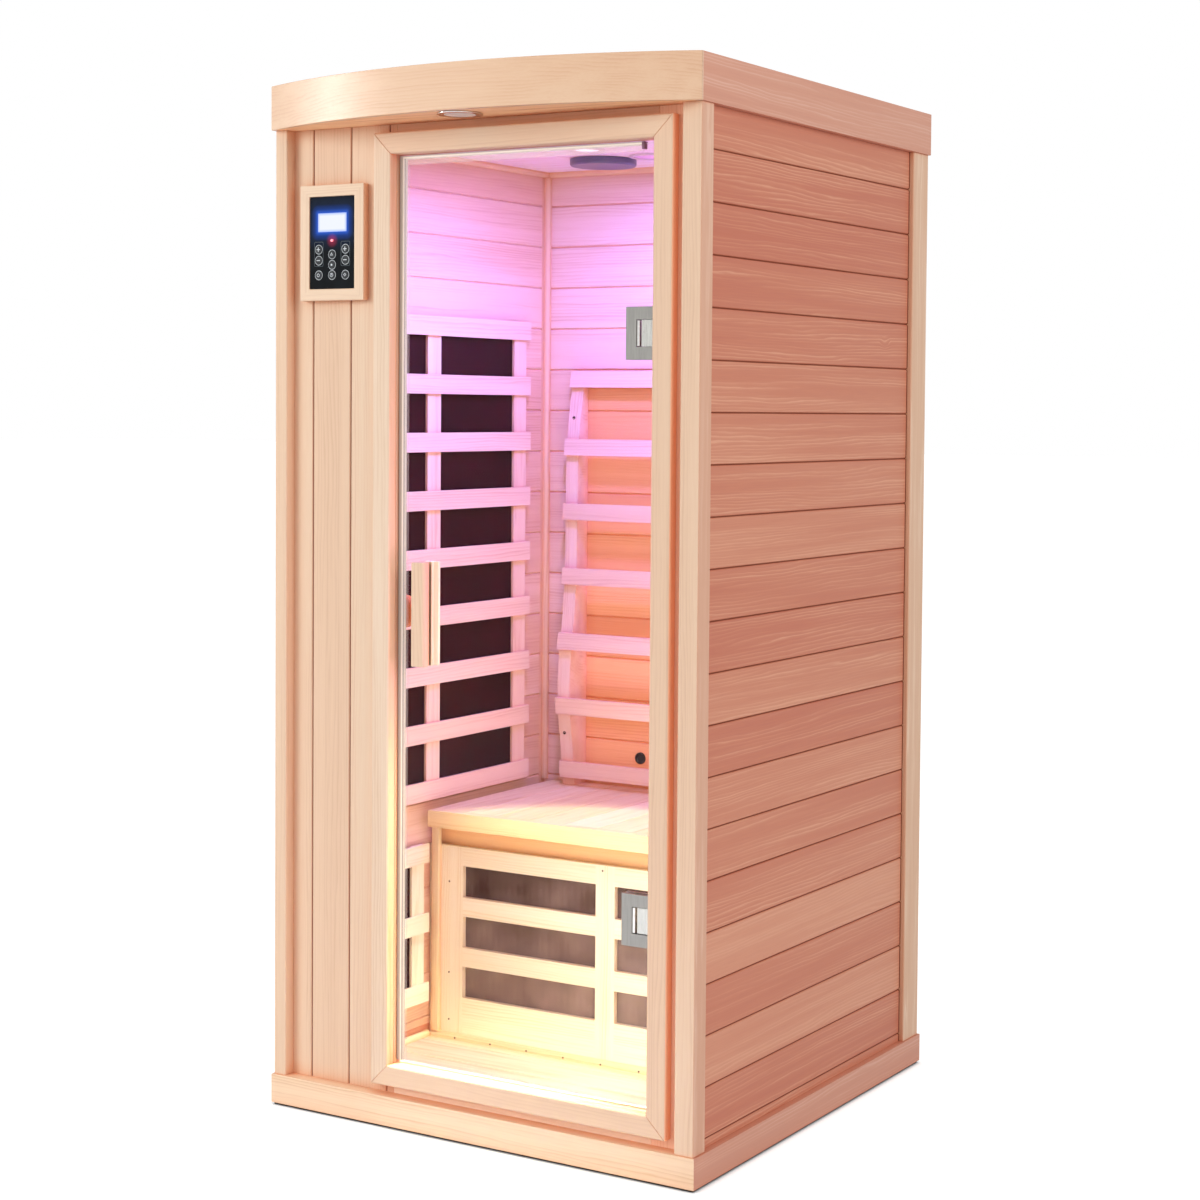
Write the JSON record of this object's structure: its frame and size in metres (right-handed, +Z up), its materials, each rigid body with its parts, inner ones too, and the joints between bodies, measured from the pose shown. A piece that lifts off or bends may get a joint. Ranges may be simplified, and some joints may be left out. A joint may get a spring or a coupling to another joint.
{
  "type": "infrared sauna cabin",
  "caption": "Upright wooden infrared sauna cabin with a hinged glass door, bowed roof, slatted backrest, bench, guarded heater panels and a front control unit.",
  "frame": {"origin": "middle of the base's underside, on the floor", "axes": "+X to the right seen from the front, +Y to the back, +Z up; the door faces -Y"},
  "size_m": [0.92, 0.996, 1.9],
  "materials": {
    "hemlock_front": "clear satin on pale hemlock",
    "hemlock_boards": "clear satin on reddish hemlock boards",
    "hemlock_inside": "sanded bare hemlock",
    "carbon_emitter": "dark carbon film panel",
    "door_glass": "clear tempered",
    "edge_seal": "soft translucent strip",
    "satin_steel": "satin",
    "lamp_trim": "bright",
    "colour_lamp": "violet lens",
    "panel_black": "gloss black",
    "display_blue": "lit display",
    "key_grey": "soft matt",
    "cover_board": "raw plywood",
    "unit_grey": "matt grey"
  },
  "bodies": {
    "cabin": {"base_plinth": "hemlock_front", "post_front_left": "hemlock_front", "post_front_right": "hemlock_front", "front_boards": "hemlock_front", "front_stile": "hemlock_front", "front_header": "hemlock_front", "front_sill": "hemlock_front", "casing_left": "hemlock_front", "casing_right": "hemlock_front", "casing_top": "hemlock_front", "casing_bottom": "hemlock_front", "fascia_front": "hemlock_front", "fascia_rim": "hemlock_front", "visor_soffit": "hemlock_front", "control_surround": "hemlock_front", "post_rear_left": "hemlock_boards", "post_rear_right": "hemlock_boards", "wall_left": "hemlock_boards", "wall_right": "hemlock_boards", "wall_back": "hemlock_boards", "ceiling_panel": "hemlock_boards", "floor_panel": "hemlock_inside", "bench_seat": "hemlock_inside", "bench_front_rail": "hemlock_inside", "bench_back_cleat": "hemlock_inside", "calf_guard": "hemlock_inside", "backrest": "hemlock_inside", "side_guard_left": "hemlock_inside", "side_guard_right": "hemlock_inside", "leg_guard_left": "hemlock_inside", "leg_guard_right": "hemlock_inside", "door_stop": "hemlock_inside", "calf_heater": "carbon_emitter", "side_heater_left": "carbon_emitter", "side_heater_right": "carbon_emitter", "leg_heater_left": "carbon_emitter", "leg_heater_right": "carbon_emitter", "hinge_block_top": "satin_steel", "hinge_block_bottom": "satin_steel", "visor_lamp": "lamp_trim", "ceiling_lamp": "colour_lamp", "control_panel": "panel_black", "control_display": "display_blue", "roof_cover": "cover_board", "power_unit": "unit_grey"},
    "door": {"door_glass": "door_glass", "door_seal": "edge_seal", "hinge_clamp_top": "satin_steel", "hinge_clamp_bottom": "satin_steel", "handle_outer": "hemlock_inside", "handle_inner": "hemlock_inside"},
    "key_1": {"key_1": "key_grey"},
    "key_2": {"key_2": "key_grey"},
    "key_3": {"key_3": "key_grey"},
    "key_4": {"key_4": "key_grey"},
    "key_5": {"key_5": "key_grey"},
    "key_6": {"key_6": "key_grey"},
    "key_7": {"key_7": "key_grey"},
    "key_8": {"key_8": "key_grey"},
    "key_9": {"key_9": "key_grey"}
  },
  "joints": [
    {"name": "door_hinge", "type": "hinge", "parent": "cabin", "child": "door", "pos_m": [0.346, -0.414, 0.939], "axis": [0, 0, 1], "range_deg": [0, 90]},
    {"name": "key_1_press", "type": "slide", "parent": "cabin", "child": "key_1", "axis": [0, 1, 0], "range_m": [0, 0.0008], "stiffness_N_per_m": 500, "springref_m": -0.0004},
    {"name": "key_2_press", "type": "slide", "parent": "cabin", "child": "key_2", "axis": [0, 1, 0], "range_m": [0, 0.0008], "stiffness_N_per_m": 500, "springref_m": -0.0004},
    {"name": "key_3_press", "type": "slide", "parent": "cabin", "child": "key_3", "axis": [0, 1, 0], "range_m": [0, 0.0008], "stiffness_N_per_m": 500, "springref_m": -0.0004},
    {"name": "key_4_press", "type": "slide", "parent": "cabin", "child": "key_4", "axis": [0, 1, 0], "range_m": [0, 0.0008], "stiffness_N_per_m": 500, "springref_m": -0.0004},
    {"name": "key_5_press", "type": "slide", "parent": "cabin", "child": "key_5", "axis": [0, 1, 0], "range_m": [0, 0.0008], "stiffness_N_per_m": 500, "springref_m": -0.0004},
    {"name": "key_6_press", "type": "slide", "parent": "cabin", "child": "key_6", "axis": [0, 1, 0], "range_m": [0, 0.0008], "stiffness_N_per_m": 500, "springref_m": -0.0004},
    {"name": "key_7_press", "type": "slide", "parent": "cabin", "child": "key_7", "axis": [0, 1, 0], "range_m": [0, 0.0008], "stiffness_N_per_m": 500, "springref_m": -0.0004},
    {"name": "key_8_press", "type": "slide", "parent": "cabin", "child": "key_8", "axis": [0, 1, 0], "range_m": [0, 0.0008], "stiffness_N_per_m": 500, "springref_m": -0.0004},
    {"name": "key_9_press", "type": "slide", "parent": "cabin", "child": "key_9", "axis": [0, 1, 0], "range_m": [0, 0.0008], "stiffness_N_per_m": 500, "springref_m": -0.0004}
  ]
}
